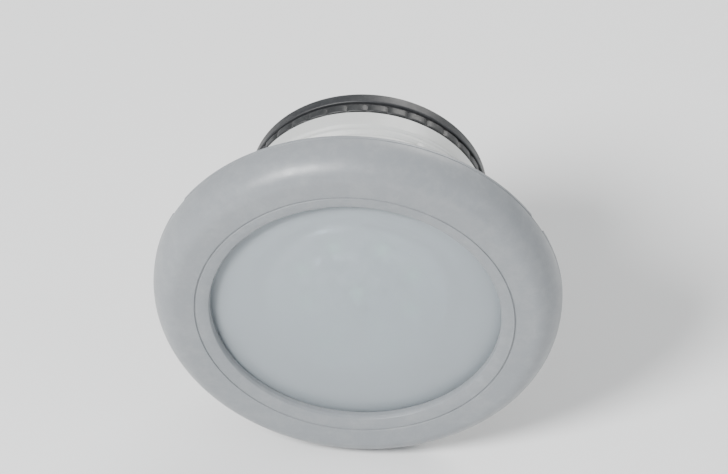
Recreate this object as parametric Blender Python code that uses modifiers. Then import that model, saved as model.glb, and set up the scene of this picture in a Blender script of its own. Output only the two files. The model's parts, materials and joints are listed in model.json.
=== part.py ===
"""Underwater spa light: a round grey face on the wet side of a spa's shell, and a lamp that twists in from behind.

Units are metres. Every piece is modelled on the bench, with the light's axis along +z and its face up, and z = 0
on the wet face of the spa's shell. At the end the empties stand the light up as it is on a spa's wall: its face
looks along -y, and +z is up.
"""

import math

import bmesh
import bpy

GAP = 0.0003  # kept between pieces that touch
PAST = 0.001  # how far a cutter runs past the faces that it cuts
ROUND = 40  # sides of the large turned pieces
SMALL_ROUND = 24  # sides of the gland
PIN_ROUND = 10  # sides of screws and standoffs

# --- Driving dimensions ---------------------------------------------------------------------------
FACE_RADIUS = 0.0825
WINDOW_RADIUS = 0.0585  # clear opening in the trim ring
SHELL_THICKNESS = 0.008  # the spa shell that the light is stored as clamping
FLANGE_RADIUS = 0.073
THREAD_RADIUS = 0.0508  # over the crests of the barrel's thread, which is kept as a plain cylinder
BARREL_RADIUS = 0.0492  # behind the thread
BARREL_BORE = 0.045
BARREL_END = -0.052
THREAD_END = -0.043  # the rear end of the thread
LED_COUNT = 9

# --- Levels along the axis, from the shell's wet face towards the water ---------------------------
GASKET_THICKNESS = 0.003
FLANGE_BACK = GASKET_THICKNESS + GAP
RECESS_FLOOR = FLANGE_BACK + 0.0032
LENS_GASKET_THICKNESS = 0.0015
LENS_BACK = RECESS_FLOOR + LENS_GASKET_THICKNESS + 2 * GAP
LENS_THICKNESS = 0.0035
LENS_CROWN = 0.0045  # how far the lens's dome rises
RIM_TOP = LENS_BACK + LENS_THICKNESS
CLAMP_BACK = RIM_TOP + GAP
CLAMP_TOP = CLAMP_BACK + 0.0025
TRIM_UNDERSIDE = CLAMP_TOP + 0.0008
TRIM_TOP = TRIM_UNDERSIDE + 0.002
TRIM_FOOT = 0.0008  # the trim ring stops just clear of the shell

# --- Radii at the face ----------------------------------------------------------------------------
LENS_RADIUS = 0.065
RECESS_RADIUS = LENS_RADIUS + 0.0005
CLAMP_BORE = WINDOW_RADIUS + 0.002
CLAMP_SCREW_CIRCLE = 0.0692
CLAMP_SCREWS = 6
CLAMP_HOLE = 0.0017
CLAMP_RECESS_RADIUS = 0.003
CLAMP_RECESS_DEPTH = 0.0016
TAB_RADIUS = 0.0765  # the flange's bayonet tabs
TRIM_WALL = 0.0022
BAYONET_LUGS = 3

# --- Lock nut and slip washer, behind the shell ---------------------------------------------------
WASHER_THICKNESS = 0.002
WASHER_TOP = -SHELL_THICKNESS
NUT_TOP = WASHER_TOP - WASHER_THICKNESS - GAP
NUT_HEIGHT = 0.014
NUT_FLANGE_RADIUS = 0.064
NUT_HUB_RADIUS = 0.0565
NUT_RIBS = 8
THREAD_CLEARANCE = 0.0004

# --- Lamp: a cup in the barrel, with all that it holds --------------------------------------------
CUP_RADIUS = 0.0442
CUP_BORE = 0.040
CUP_FRONT = 0.003
CUP_FLANGE_RADIUS = 0.049
CUP_FLANGE_TOP = BARREL_END - GAP
CUP_END = CUP_FLANGE_TOP - 0.004
LEDGE_TOP = -0.0123
LEDGE_THICKNESS = 0.003
LEDGE_BORE = 0.0375
ORING_LEVEL = -0.0101
LOCK_TURN = 40  # degrees that the lamp turns between its entry slots and its lock
LUG_TOP = -0.0446
LUG_HEIGHT = 0.0032

HEAT_SINK_TOP = -0.006
HEAT_SINK_BACK = LEDGE_TOP + GAP
FIN_COUNT = 7
FIN_PITCH = 0.008
FIN_REACH = 0.027  # the fins stay inside this radius
FIN_END = -0.022
PAD_BACK = HEAT_SINK_TOP + GAP
PAD_THICKNESS = 0.0005
BOARD_BACK = PAD_BACK + PAD_THICKNESS + GAP
BOARD_TOP = BOARD_BACK + 0.0016
LED_CIRCLE = 0.026
LED_SIDE = 0.005
REFLECTOR_BACK = BOARD_TOP + 0.0004
REFLECTOR_TOP = 0.0042
CUP_MOUTH = 0.0093
CUP_THROAT = 0.004
ENGINE_SCREW_CIRCLE = 0.013
SCREW_HOLE = 0.0015  # in all but the wall fitting and the clamp ring
LEAD_NOTCH = -0.036  # x of the notch that the leads pass through

DRIVER_TOP = -0.030
DRIVER_BACK = DRIVER_TOP - 0.0016
DRIVER_RADIUS = 0.037
STANDOFF_CIRCLE = 0.033
PARTS_TOP = DRIVER_BACK - GAP  # where parts soldered to the driver board begin

# --- Rear cover and cable gland -------------------------------------------------------------------
COVER_GASKET_TOP = CUP_END - GAP
COVER_TOP = COVER_GASKET_TOP - 0.001 - GAP
COVER_BACK = COVER_TOP - 0.004
COVER_SCREW_CIRCLE = 0.0423
COVER_SCREWS = 4
COVER_HOLE = 0.008
SPIGOT_RADIUS = 0.0077
GLAND_HEX_TOP = COVER_BACK - GAP - 0.001 - GAP
GLAND_HEX_BACK = GLAND_HEX_TOP - 0.005
GLAND_END = GLAND_HEX_BACK - 0.0085
GLAND_BORE = 0.005
GLAND_SEAT_RADIUS = 0.007
GLAND_THREAD_RADIUS = 0.0088
CLAW_COLLAR_BACK = GLAND_END - GAP - 0.002
CLAW_END = CLAW_COLLAR_BACK - 0.004
CAP_TOP = GLAND_HEX_BACK - 0.0015
CAP_END = CLAW_END - 0.0025

# --- Screws, as head radius, head height, shank radius and length under the head ------------------
CLAMP_SCREW = 0.0026, 0.0013, 0.0013, 0.0065
REFLECTOR_SCREW = 0.0024, 0.0016, 0.0012, 0.014
DRIVER_SCREW = 0.0024, 0.0015, 0.0011, 0.0016
COVER_SCREW = 0.0026, 0.0018, 0.0012, 0.0125

# --- Materials, as name, colour, roughness and metallic -------------------------------------------
GREY_PLASTIC = ("grey_plastic", (0.40, 0.42, 0.44), 0.42, 0.0)
LENS_PLASTIC = ("lens_plastic", (0.60, 0.64, 0.66), 0.30, 0.0)
WHITE_PLASTIC = ("white_plastic", (0.78, 0.79, 0.79), 0.40, 0.0)
BLACK_PLASTIC = ("black_plastic", (0.03, 0.03, 0.03), 0.45, 0.0)
RUBBER = ("rubber", (0.05, 0.05, 0.05), 0.75, 0.0)
SILICONE = ("silicone", (0.55, 0.57, 0.58), 0.60, 0.0)
STEEL = ("stainless_steel", (0.62, 0.62, 0.61), 0.28, 1.0)
ALUMINIUM = ("aluminium", (0.70, 0.71, 0.72), 0.40, 1.0)
MIRROR = ("bright_coating", (0.85, 0.86, 0.87), 0.12, 1.0)
BOARD_WHITE = ("white_solder_mask", (0.80, 0.81, 0.80), 0.50, 0.0)
BOARD_GREEN = ("green_solder_mask", (0.03, 0.16, 0.07), 0.45, 0.0)
LED_GREEN = ("led_green", (0.20, 0.85, 0.45), 0.20, 0.0)
WIRE_RED = ("red_insulation", (0.55, 0.03, 0.03), 0.45, 0.0)
BRASS = ("brass", (0.72, 0.56, 0.27), 0.30, 1.0)
FERRITE = ("ferrite", (0.10, 0.10, 0.105), 0.60, 0.0)
TERMINAL_GREEN = ("green_plastic", (0.04, 0.30, 0.10), 0.45, 0.0)


# --- Helpers --------------------------------------------------------------------------------------
def clear_scene():
    for old in list(bpy.data.objects):
        bpy.data.objects.remove(old)


def material_of(spec):
    """The Blender material for a (name, colour, roughness, metallic) spec, made on first use."""
    name, colour, roughness, metallic = spec
    found = bpy.data.materials.get(name)
    if found:
        return found
    made = bpy.data.materials.new(name)
    made.use_nodes = True
    shader = made.node_tree.nodes["Principled BSDF"]
    shader.inputs["Base Color"].default_value = (*colour, 1.0)
    shader.inputs["Roughness"].default_value = roughness
    shader.inputs["Metallic"].default_value = metallic
    return made


def add_object(name, data):
    made = bpy.data.objects.new(name, data)
    bpy.context.scene.collection.objects.link(made)
    return made


def settle(obj):
    """Bakes the modifiers into the mesh, and shades it smooth up to its sharp edges."""
    graph = bpy.context.evaluated_depsgraph_get()
    graph.update()
    mesh = bpy.data.meshes.new_from_object(obj.evaluated_get(graph))
    obj.modifiers.clear()
    obj.data = mesh
    mesh.shade_smooth()
    mesh.set_sharp_from_angle(angle=math.radians(32))
    return obj


def combine(obj, tool, operation):
    """Cuts obj with a tool (DIFFERENCE) or joins the tool to it (UNION), and removes the tool."""
    modifier = obj.modifiers.new(tool.name, "BOOLEAN")
    modifier.operation = operation
    modifier.object = tool
    settle(obj)
    bpy.data.objects.remove(tool)
    return obj


def cut(obj, tool):
    return combine(obj, tool, "DIFFERENCE")


def join(obj, tool):
    return combine(obj, tool, "UNION")


def turned(name, profile, steps=ROUND):
    """A profile of (radius, z) points turned about z. It runs down the outer side. A profile that starts on the
    axis is left open there, and any other is a closed loop."""
    mesh = bpy.data.meshes.new(name)
    count = len(profile)
    edges = [(i, i + 1) for i in range(count - 1)]
    if profile[0][0] > 0:
        edges.append((count - 1, 0))
    mesh.from_pydata([(radius, 0, z) for radius, z in profile], edges, [])
    obj = add_object(name, mesh)
    screw = obj.modifiers.new("turn", "SCREW")
    screw.axis = "Z"
    screw.steps = screw.render_steps = steps
    screw.use_merge_vertices = True
    screw.merge_threshold = 0.00001
    return settle(obj)


def polar(radius, degrees):
    return radius * math.cos(math.radians(degrees)), radius * math.sin(math.radians(degrees))


def circle(radius, steps=ROUND, centre=(0, 0)):
    """The points of a circle. A step count that matches turned() makes the same corners."""
    points = [polar(radius, 360 * i / steps) for i in range(steps)]
    return [(centre[0] + x, centre[1] + y) for x, y in points]


def plate(name, outlines, low, high):
    """A flat plate between two levels: the first outline is its edge, and the others are its holes."""
    curve = bpy.data.curves.new(name, "CURVE")
    curve.dimensions = "2D"
    curve.fill_mode = "BOTH"
    curve.extrude = (high - low) / 2
    for outline in outlines:
        spline = curve.splines.new("POLY")
        spline.points.add(len(outline) - 1)
        for point, (x, y) in zip(spline.points, outline):
            point.co = (x, y, 0, 1)
        spline.use_cyclic_u = True
    return as_mesh(add_object(name, curve), lift=(low + high) / 2)


def as_mesh(curve_object, lift=0.0):
    """The curve's solid as a mesh object, with its caps welded on, moved up by lift."""
    name = curve_object.name
    graph = bpy.context.evaluated_depsgraph_get()
    mesh = bpy.data.meshes.new_from_object(curve_object.evaluated_get(graph))
    bpy.data.objects.remove(curve_object)
    work = bmesh.new()
    work.from_mesh(mesh)
    bmesh.ops.remove_doubles(work, verts=work.verts, dist=0.000001)
    bmesh.ops.translate(work, verts=work.verts, vec=(0, 0, lift))
    bmesh.ops.recalc_face_normals(work, faces=work.faces)
    work.to_mesh(mesh)
    work.free()
    return settle(add_object(name, mesh))


def block(name, size, centre, turn=0.0):
    """A box of that size, centred there, and then turned about z by turn degrees."""
    bpy.ops.mesh.primitive_cube_add(size=1)
    obj = bpy.context.object
    obj.name = name
    for vertex in obj.data.vertices:
        x, y, z = (side * c + middle for side, c, middle in zip(size, vertex.co, centre))
        angle = math.radians(turn)
        vertex.co = (
            x * math.cos(angle) - y * math.sin(angle),
            x * math.sin(angle) + y * math.cos(angle),
            z,
        )
    return obj


def sector(name, inner, outer, low, high, middle, width, steps=4):
    """A block that follows the circle: from inner to outer radius, and width degrees wide about middle."""
    angles = [middle - width / 2 + width * i / steps for i in range(steps + 1)]
    outline = [polar(outer, a) for a in angles] + [polar(inner, a) for a in reversed(angles)]
    return plate(name, [outline], low, high)


def cylinder(name, radius, low, high, at=(0, 0), steps=PIN_ROUND):
    return plate(name, [circle(radius, steps, at)], low, high)


def ring_positions(radius, count, first=0.0):
    """count points spread evenly round the axis."""
    return [polar(radius, first + 360 * i / count) for i in range(count)]


def screw_mesh(sizes):
    """A slotted cheese-head screw, with the underside of its head at z = 0."""
    head_radius, head_height, shank_radius, length = sizes
    profile = [
        (0, head_height),
        (head_radius, head_height),
        (head_radius, 0),
        (shank_radius, 0),
        (shank_radius, shank_radius - length),
        (0, -length),
    ]
    obj = turned("screw", profile, PIN_ROUND)
    slot_depth = head_height * 0.5
    size = (head_radius * 3, 0.0007, slot_depth)
    cut(obj, block("slot", size, (0, 0, head_height - slot_depth / 2 + 0.0001)))
    mesh = obj.data
    bpy.data.objects.remove(obj)
    return mesh


def place_copies(name, mesh, points, level, flip=False):
    """One object for each point, sharing a mesh. flip points them the other way along the axis."""
    made = []
    for number, (x, y) in enumerate(points, 1):
        obj = add_object(f"{name}_{number}", mesh)
        obj.location = (x, y, level)
        obj.rotation_euler = (math.pi if flip else 0, 0, math.radians(37 * number))
        made.append(obj)
    return made


def drill(obj, points, radius, low, high):
    for point in points:
        cut(obj, cylinder("drill", radius, low, high, point))
    return obj


def clamp_points():
    return ring_positions(CLAMP_SCREW_CIRCLE, CLAMP_SCREWS, 30)


def engine_points():
    return ring_positions(ENGINE_SCREW_CIRCLE, 3, 30)


def standoff_points():
    return ring_positions(STANDOFF_CIRCLE, 3, 90)


def cover_points():
    return ring_positions(COVER_SCREW_CIRCLE, COVER_SCREWS, 45)


# --- Wet side: the wall fitting and what is clamped to its face -----------------------------------
def make_wall_fitting():
    """The flanged, threaded barrel that goes through the shell."""
    obj = turned(
        "wall_fitting",
        [
            (RECESS_RADIUS, RIM_TOP),
            (FLANGE_RADIUS, RIM_TOP),
            (FLANGE_RADIUS, FLANGE_BACK),
            (THREAD_RADIUS, FLANGE_BACK),
            (THREAD_RADIUS, THREAD_END + 0.001),
            (BARREL_RADIUS, THREAD_END - 0.0006),
            (BARREL_RADIUS, BARREL_END + 0.001),
            (BARREL_RADIUS - 0.001, BARREL_END),
            (BARREL_BORE, BARREL_END),
            (BARREL_BORE, RECESS_FLOOR),
            (RECESS_RADIUS, RECESS_FLOOR),
        ],
    )
    drill(obj, clamp_points(), CLAMP_HOLE, RECESS_FLOOR - PAST, RIM_TOP + PAST)
    for number in range(BAYONET_LUGS):
        middle = 90 + 120 * number
        join(obj, sector("tab", FLANGE_RADIUS - 0.0015, TAB_RADIUS, 0.0072, 0.0102, middle, 20))
        join(obj, sector("stop", FLANGE_RADIUS - 0.0015, TAB_RADIUS, 0.0036, 0.0080, middle - 12, 3, 1))
    for number in range(BAYONET_LUGS):
        middle = 30 + 120 * number
        depth = BARREL_BORE - PAST, BARREL_BORE + 0.0025
        groove_top = LUG_TOP + 0.0004
        groove_back = LUG_TOP - LUG_HEIGHT - 0.0004
        groove_width = LOCK_TURN + 15
        groove_middle = middle + 8 - groove_width / 2
        cut(obj, sector("groove", *depth, groove_back, groove_top, groove_middle, groove_width, 8))
        cut(obj, sector("entry", *depth, BARREL_END - PAST, groove_top, middle - LOCK_TURN, 14))
    return obj


def make_flange_gasket():
    return plate("flange_gasket", [circle(0.0715), circle(0.0525)], 0, GASKET_THICKNESS)


def make_lens_gasket():
    low = RECESS_FLOOR + GAP
    return plate("lens_gasket", [circle(0.0645), circle(0.0565)], low, low + LENS_GASKET_THICKNESS)


def dome(radius, rise, base, steps=4):
    """Points of a shallow dome's profile, from its top on the axis out to its edge."""
    return [
        (radius * i / steps, base + rise * (1 - (i / steps) ** 2)) for i in range(steps + 1)
    ]


def make_lens():
    """A shallow dome with a flat rim, which the clamp ring presses on."""
    edge = WINDOW_RADIUS + 0.001
    outside = dome(edge, LENS_CROWN, RIM_TOP)
    inside = dome(edge, LENS_CROWN, LENS_BACK)
    profile = outside + [(LENS_RADIUS, RIM_TOP), (LENS_RADIUS, LENS_BACK)] + inside[::-1]
    return turned("lens", profile)


def make_lens_clamp_ring():
    obj = plate("lens_clamp_ring", [circle(FLANGE_RADIUS), circle(CLAMP_BORE)], CLAMP_BACK, CLAMP_TOP)
    drill(obj, clamp_points(), CLAMP_HOLE, CLAMP_BACK - PAST, CLAMP_TOP + PAST)
    return drill(obj, clamp_points(), CLAMP_RECESS_RADIUS, CLAMP_TOP - CLAMP_RECESS_DEPTH, CLAMP_TOP + PAST)


def make_clamp_screws():
    level = CLAMP_TOP - CLAMP_RECESS_DEPTH + GAP
    return place_copies("clamp_screw", screw_mesh(CLAMP_SCREW), clamp_points(), level)


def ellipse_arc(centre, across, up, steps):
    """Points of a quarter ellipse, from its top down to its outer side."""
    angles = [math.radians(90 - 90 * i / steps) for i in range(steps + 1)]
    return [(centre[0] + across * math.cos(a), centre[1] + up * math.sin(a)) for a in angles]


def make_trim_ring():
    """The grey face ring: a hollow section with a rounded outer edge, and three bayonet lugs under it."""
    shoulder = 0.072, 0.003  # centre of the rounded outer edge
    reach = FACE_RADIUS - shoulder[0]
    outer = ellipse_arc(shoulder, reach, TRIM_TOP - shoulder[1], 5)
    inner = ellipse_arc(shoulder, reach - TRIM_WALL, TRIM_UNDERSIDE - shoulder[1], 3)
    lip_foot = RIM_TOP + 0.0007
    profile = [
        (WINDOW_RADIUS, TRIM_TOP - 0.0019),
        (WINDOW_RADIUS + 0.0006, TRIM_TOP - 0.0006),
        (WINDOW_RADIUS + 0.0020, TRIM_TOP),
        *outer,
        (FACE_RADIUS, TRIM_FOOT),
        (FACE_RADIUS - TRIM_WALL, TRIM_FOOT),
        *reversed(inner),
        (WINDOW_RADIUS + 0.0015, TRIM_UNDERSIDE),
        (WINDOW_RADIUS + 0.0015, lip_foot),
        (WINDOW_RADIUS, lip_foot),
    ]
    obj = turned("trim_ring", profile)
    for number in range(BAYONET_LUGS):
        middle = 90 + 120 * number
        join(obj, sector("lug", 0.0740, FACE_RADIUS - 0.0012, 0.0040, 0.0068, middle, 18))
        vent = block("vent", (0.010, 0.007, 0.0014), (FACE_RADIUS, 0, TRIM_FOOT), middle + 60)
        cut(obj, vent)
    return obj


# --- Dry side: the nut that clamps the fitting to the shell ---------------------------------------
def make_slip_washer():
    outlines = [circle(NUT_FLANGE_RADIUS), circle(THREAD_RADIUS + 0.0005)]
    return plate("slip_washer", outlines, WASHER_TOP - WASHER_THICKNESS, WASHER_TOP)


def make_lock_nut():
    """A flanged nut with ribs for a hand or a strap wrench."""
    bottom = NUT_TOP - NUT_HEIGHT
    flange_bottom = NUT_TOP - 0.004
    bore = THREAD_RADIUS + THREAD_CLEARANCE
    obj = turned(
        "lock_nut",
        [
            (bore, NUT_TOP),
            (NUT_FLANGE_RADIUS, NUT_TOP),
            (NUT_FLANGE_RADIUS, flange_bottom),
            (NUT_HUB_RADIUS, flange_bottom),
            (NUT_HUB_RADIUS, bottom),
            (bore, bottom),
        ],
    )
    rib_top = flange_bottom + 0.001
    rib_reach = NUT_FLANGE_RADIUS - 0.0008
    rib_foot = NUT_HUB_RADIUS - 0.0015
    for number in range(NUT_RIBS):
        size = (rib_reach - rib_foot, 0.0045, rib_top - bottom)
        centre = ((rib_reach + rib_foot) / 2, 0, (rib_top + bottom) / 2)
        join(obj, block("rib", size, centre, 360 * (number + 0.5) / NUT_RIBS))
    return obj


# --- The lamp -------------------------------------------------------------------------------------
def make_lamp_cup():
    """The lamp's casing: a groove for its O-ring, a ledge for the heat sink, and three lugs that lock it."""
    obj = turned(
        "lamp_cup",
        [
            (CUP_BORE, CUP_FRONT),
            (CUP_RADIUS - 0.0008, CUP_FRONT),
            (CUP_RADIUS, CUP_FRONT - 0.0008),
            (CUP_RADIUS, ORING_LEVEL + 0.0016),
            (CUP_RADIUS - 0.0021, ORING_LEVEL + 0.0016),
            (CUP_RADIUS - 0.0021, ORING_LEVEL - 0.0016),
            (CUP_RADIUS, ORING_LEVEL - 0.0016),
            (CUP_RADIUS, CUP_FLANGE_TOP),
            (CUP_FLANGE_RADIUS, CUP_FLANGE_TOP),
            (CUP_FLANGE_RADIUS, CUP_END),
            (CUP_BORE, CUP_END),
            (CUP_BORE, LEDGE_TOP - LEDGE_THICKNESS),
            (LEDGE_BORE, LEDGE_TOP - LEDGE_THICKNESS),
            (LEDGE_BORE, LEDGE_TOP),
            (CUP_BORE, LEDGE_TOP),
        ],
    )
    for number in range(BAYONET_LUGS):
        middle = 30 + 120 * number
        across = CUP_RADIUS - 0.001, CUP_RADIUS + 0.003
        join(obj, sector("lug", *across, LUG_TOP - LUG_HEIGHT, LUG_TOP, middle, 11, 3))
    return drill(obj, cover_points(), SCREW_HOLE, CUP_END - PAST, CUP_END + 0.0085)


def make_lamp_o_ring():
    bpy.ops.mesh.primitive_torus_add(
        major_radius=0.04355,
        minor_radius=0.0011,
        major_segments=ROUND,
        minor_segments=6,
        location=(0, 0, ORING_LEVEL),
    )
    obj = bpy.context.object
    obj.name = "lamp_o_ring"
    obj.data.shade_smooth()
    return obj


def notched(obj, low, high):
    """Cuts the notch that the leads pass through, and the holes for the engine's screws."""
    cut(obj, block("notch", (0.012, 0.009, high - low), (LEAD_NOTCH - 0.004, 0, (low + high) / 2)))
    return drill(obj, engine_points(), SCREW_HOLE, low, high)


def make_heat_sink():
    obj = plate("heat_sink", [circle(CUP_BORE - 0.0004)], HEAT_SINK_BACK, HEAT_SINK_TOP)
    for number in range(FIN_COUNT):
        x = FIN_PITCH * (number - (FIN_COUNT - 1) / 2)
        length = 2 * math.sqrt(FIN_REACH**2 - x**2)
        height = HEAT_SINK_BACK - FIN_END + 0.001
        join(obj, block("fin", (0.0016, length, height), (x, 0, FIN_END + height / 2)))
    return notched(obj, FIN_END - PAST, HEAT_SINK_TOP + PAST)


def make_thermal_pad():
    top = PAD_BACK + PAD_THICKNESS
    obj = plate("thermal_pad", [circle(0.0375)], PAD_BACK, top)
    return notched(obj, PAD_BACK - PAST, top + PAST)


def make_led_board():
    obj = plate("led_board", [circle(0.038)], BOARD_BACK, BOARD_TOP)
    return drill(obj, engine_points(), SCREW_HOLE, BOARD_BACK - PAST, BOARD_TOP + PAST)


def led_points():
    """The LED at the centre, and the others on their circle."""
    return [(0, 0)] + ring_positions(LED_CIRCLE, LED_COUNT - 1, 22.5)


def make_leds():
    """A square package with a silicone dome on it."""
    height = 0.0008
    base = block("led", (LED_SIDE, LED_SIDE, height), (0, 0, height / 2))
    bulb = turned("bulb", [(0, 0.0028), (0.0012, 0.0024), (0.0021, 0.0012), (0.0022, 0.0004), (0, 0.0004)], 8)
    mesh = join(base, bulb).data
    bpy.data.objects.remove(base)
    leds = place_copies("led", mesh, led_points(), BOARD_TOP + GAP)
    for led in leds:
        led.rotation_euler = (0, 0, 0)
    return leds


def make_reflector():
    """A bright moulding with a conical cup round each LED."""
    obj = plate("reflector", [circle(CUP_BORE - 0.0006)], REFLECTOR_BACK, REFLECTOR_TOP)
    for x, y in led_points():
        slope = (CUP_MOUTH - CUP_THROAT) / (REFLECTOR_TOP - REFLECTOR_BACK)
        bpy.ops.mesh.primitive_cone_add(
            vertices=16,
            radius1=CUP_THROAT - slope * PAST,
            radius2=CUP_MOUTH + slope * PAST,
            depth=REFLECTOR_TOP - REFLECTOR_BACK + 2 * PAST,
            location=(x, y, (REFLECTOR_TOP + REFLECTOR_BACK) / 2),
        )
        cut(obj, bpy.context.object)
    return drill(obj, engine_points(), SCREW_HOLE, REFLECTOR_BACK - PAST, REFLECTOR_TOP + PAST)


def make_reflector_screws():
    return place_copies("reflector_screw", screw_mesh(REFLECTOR_SCREW), engine_points(), REFLECTOR_TOP + GAP)


def make_standoffs():
    post = plate("standoff", [circle(0.003, 6)], DRIVER_TOP + GAP, HEAT_SINK_BACK - GAP)
    mesh = post.data
    bpy.data.objects.remove(post)
    return place_copies("standoff", mesh, standoff_points(), 0)


def make_driver_board():
    obj = plate("driver_board", [circle(DRIVER_RADIUS, 36)], DRIVER_BACK, DRIVER_TOP)
    return drill(obj, standoff_points(), SCREW_HOLE, DRIVER_BACK - PAST, DRIVER_TOP + PAST)


def make_driver_screws():
    """Short screws through the board. Their tips stop at the standoffs' faces, where the tapped holes begin."""
    mesh = screw_mesh(DRIVER_SCREW)
    return place_copies("driver_screw", mesh, standoff_points(), DRIVER_BACK - GAP, flip=True)


def make_capacitor():
    return cylinder("capacitor", 0.005, PARTS_TOP - 0.014, PARTS_TOP, (0.018, 0.016), 16)


def make_inductor():
    """A drum core with flanges."""
    height = 0.009
    obj = turned(
        "inductor",
        [
            (0, 0),
            (0.0065, 0),
            (0.0065, -0.0018),
            (0.0052, -0.0018),
            (0.0052, 0.0018 - height),
            (0.0065, 0.0018 - height),
            (0.0065, -height),
            (0, -height),
        ],
        16,
    )
    obj.location = (-0.019, 0.016, PARTS_TOP)
    return obj


def make_driver_chip():
    return block("driver_chip", (0.010, 0.008, 0.0022), (0, 0.020, PARTS_TOP - 0.0011))


def make_terminal_block():
    """Two screw terminals, with the ways for the supply cable's cores facing the gland."""
    height = 0.010
    obj = block("terminal_block", (0.016, 0.010, height), (0, -0.022, PARTS_TOP - height / 2))
    ways = [(-0.004, -0.022), (0.004, -0.022)]
    return drill(obj, ways, 0.0024, PARTS_TOP - height - 0.001, PARTS_TOP - height + 0.006)


def make_leads():
    """The two leads from the LED board, through the heat sink's notch, to the driver board."""
    start = BOARD_BACK - GAP
    end = DRIVER_TOP + GAP
    leads = []
    for name, y in (("lead_red", 0.0018), ("lead_black", -0.0018)):
        curve = bpy.data.curves.new(name, "CURVE")
        curve.dimensions = "3D"
        curve.bevel_depth = 0.0009
        curve.bevel_resolution = 2
        curve.use_fill_caps = True
        spline = curve.splines.new("POLY")
        steps = 8
        spline.points.add(steps)
        for i, point in enumerate(spline.points):
            share = i / steps
            slack = max(0, share - 0.3) / 0.7  # the leads run straight through the notch, and bow behind it
            bow = 0.0028 * math.sin(math.pi * slack) ** 2
            point.co = (LEAD_NOTCH + 0.0005 + bow, y, start + (end - start) * share, 1)
        leads.append(as_mesh(add_object(name, curve)))
    return leads


# --- Rear cover and gland -------------------------------------------------------------------------
def make_cover_gasket():
    low = COVER_GASKET_TOP - 0.001
    obj = plate("cover_gasket", [circle(0.048), circle(0.0402)], low, COVER_GASKET_TOP)
    return drill(obj, cover_points(), SCREW_HOLE, low - PAST, COVER_GASKET_TOP + PAST)


def make_rear_cover():
    """The lamp's back, with two wings to turn it by."""
    outlines = [circle(CUP_FLANGE_RADIUS), circle(COVER_HOLE, SMALL_ROUND)]
    obj = plate("rear_cover", outlines, COVER_BACK, COVER_TOP)
    wing_height = 0.011
    for side in (-1, 1):
        centre = (side * 0.030, 0, COVER_BACK - wing_height / 2 + 0.001)
        join(obj, block("wing", (0.024, 0.005, wing_height), centre))
    return drill(obj, cover_points(), SCREW_HOLE, COVER_BACK - PAST, COVER_TOP + PAST)


def make_cover_screws():
    mesh = screw_mesh(COVER_SCREW)
    return place_copies("cover_screw", mesh, cover_points(), COVER_BACK - GAP, flip=True)


def make_gland_washer():
    high = COVER_BACK - GAP
    return plate("gland_washer", [circle(0.0112, SMALL_ROUND), circle(0.0081, SMALL_ROUND)], high - 0.001, high)


def make_gland_body():
    """Spigot through the cover, hexagon, and the thread that the cap screws on to, all bored through."""
    obj = turned(
        "gland_body",
        [
            (GLAND_BORE, COVER_TOP + 0.0055),
            (SPIGOT_RADIUS, COVER_TOP + 0.0055),
            (SPIGOT_RADIUS, GLAND_HEX_BACK + 0.001),
            (GLAND_THREAD_RADIUS, GLAND_HEX_BACK + 0.001),
            (GLAND_THREAD_RADIUS, GLAND_END),
            (GLAND_SEAT_RADIUS, GLAND_END),
            (GLAND_SEAT_RADIUS, GLAND_END + 0.007),
            (GLAND_BORE, GLAND_END + 0.007),
        ],
        SMALL_ROUND,
    )
    hexagon = plate("hexagon", [circle(0.0125, 6), circle(0.0065, SMALL_ROUND)], GLAND_HEX_BACK, GLAND_HEX_TOP)
    return join(obj, hexagon)


def make_gland_locknut():
    high = COVER_TOP + GAP + 0.004
    outlines = [circle(0.0115, 6), circle(SPIGOT_RADIUS + GAP, SMALL_ROUND)]
    return plate("gland_locknut", outlines, COVER_TOP + GAP, high)


def make_gland_seal():
    """The rubber bush that grips the supply cable."""
    outlines = [circle(0.0049, SMALL_ROUND), circle(0.0036, SMALL_ROUND)]
    return plate("gland_seal", outlines, CLAW_COLLAR_BACK - 0.002, GLAND_END + 0.0065)


def make_gland_claw():
    """The slotted collet round the seal. Its collar stands off the body, and its fingers lie in the cap."""
    obj = turned(
        "gland_claw",
        [
            (0.0053, GLAND_END + 0.0055),
            (0.0066, GLAND_END + 0.0055),
            (0.0066, GLAND_END - GAP),
            (0.0086, GLAND_END - GAP),
            (0.0086, CLAW_COLLAR_BACK),
            (0.0074, CLAW_COLLAR_BACK),
            (0.0064, CLAW_END),
            (0.0053, CLAW_END),
        ],
        SMALL_ROUND,
    )
    for number in range(6):
        size = (0.006, 0.0012, CLAW_COLLAR_BACK - CLAW_END + 0.001)
        centre = (0.0072, 0, CLAW_COLLAR_BACK - size[2] / 2)
        cut(obj, block("slot", size, centre, 60 * number))
    return obj


def make_gland_cap():
    """The cap nut, with a hexagon to turn it by and a rounded nose."""
    inside = GLAND_THREAD_RADIUS + 0.0004
    obj = turned(
        "gland_cap",
        [
            (inside, CAP_TOP),
            (0.0106, CAP_TOP),
            (0.0106, CLAW_COLLAR_BACK - 0.001),
            (0.0098, CLAW_END - 0.0005),
            (0.0078, CAP_END),
            (0.0052, CAP_END),
            (0.0052, CLAW_END - GAP),
            (0.0070, CLAW_END - GAP),
            (0.0080, CLAW_COLLAR_BACK - GAP),
            (inside, CLAW_COLLAR_BACK - GAP),
        ],
        SMALL_ROUND,
    )
    low = CLAW_COLLAR_BACK + 0.001
    return join(obj, plate("hexagon", [circle(0.0125, 6), circle(0.0099, SMALL_ROUND)], low, low + 0.008))


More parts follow.
